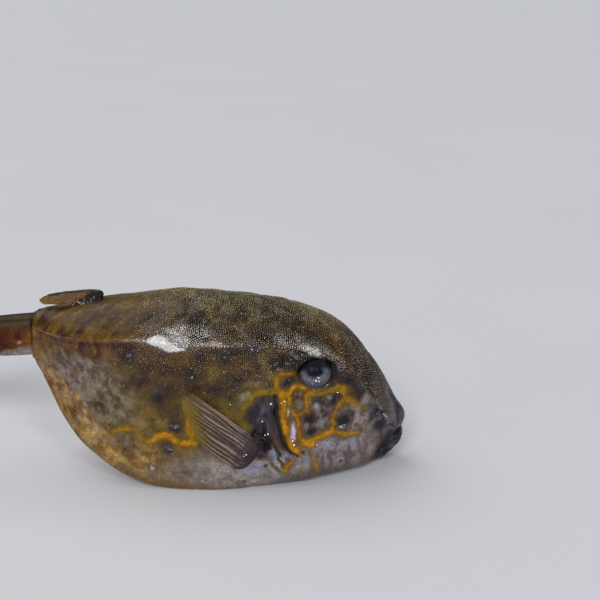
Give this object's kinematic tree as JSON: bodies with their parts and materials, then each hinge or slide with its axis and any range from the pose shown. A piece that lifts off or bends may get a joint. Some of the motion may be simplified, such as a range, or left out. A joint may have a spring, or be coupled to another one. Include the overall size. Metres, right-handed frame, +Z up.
{
  "type": "yellow boxfish",
  "caption": "Life-size yellow boxfish lying on its flat belly: a hard four-edged shell with a snout bump, small low mouth, stout tail stalk and folded rayed fins.",
  "frame": {"origin": "centre of the fish's bounding box in plan, on the surface that its belly rests on", "axes": "+X along the body towards the snout, +Y towards the fish's left side, +Z up"},
  "size_m": [0.3039, 0.0898, 0.0975],
  "materials": {
    "trunk_skin": "wet brown-olive skin over bony plates, granular, with orange seams and dark-ringed grey spots",
    "head_skin": "wet brown skin with an orange net over grey cheek plates and a blue-grey snout",
    "tail_stalk_skin": "wet smooth orange-brown skin, grey-brown above and grey below",
    "fin_membrane": "wet thin membrane over pale grey-mauve rays, dark and fleshy at the root",
    "eye_surface": "glossy clouded cornea over a grey-lavender iris and a dark blue pupil",
    "lip_skin": "wet black skin, wrinkled"
  },
  "bodies": {
    "root": {"trunk": "trunk_skin", "head": "head_skin", "tail_stalk": "tail_stalk_skin", "caudal_fin": "fin_membrane", "dorsal_fin": "fin_membrane", "anal_fin": "fin_membrane", "pectoral_fin_right": "fin_membrane", "pectoral_fin_left": "fin_membrane", "eye_right": "eye_surface", "eye_left": "eye_surface", "upper_lip": "lip_skin", "lower_lip": "lip_skin"}
  },
  "joints": []
}
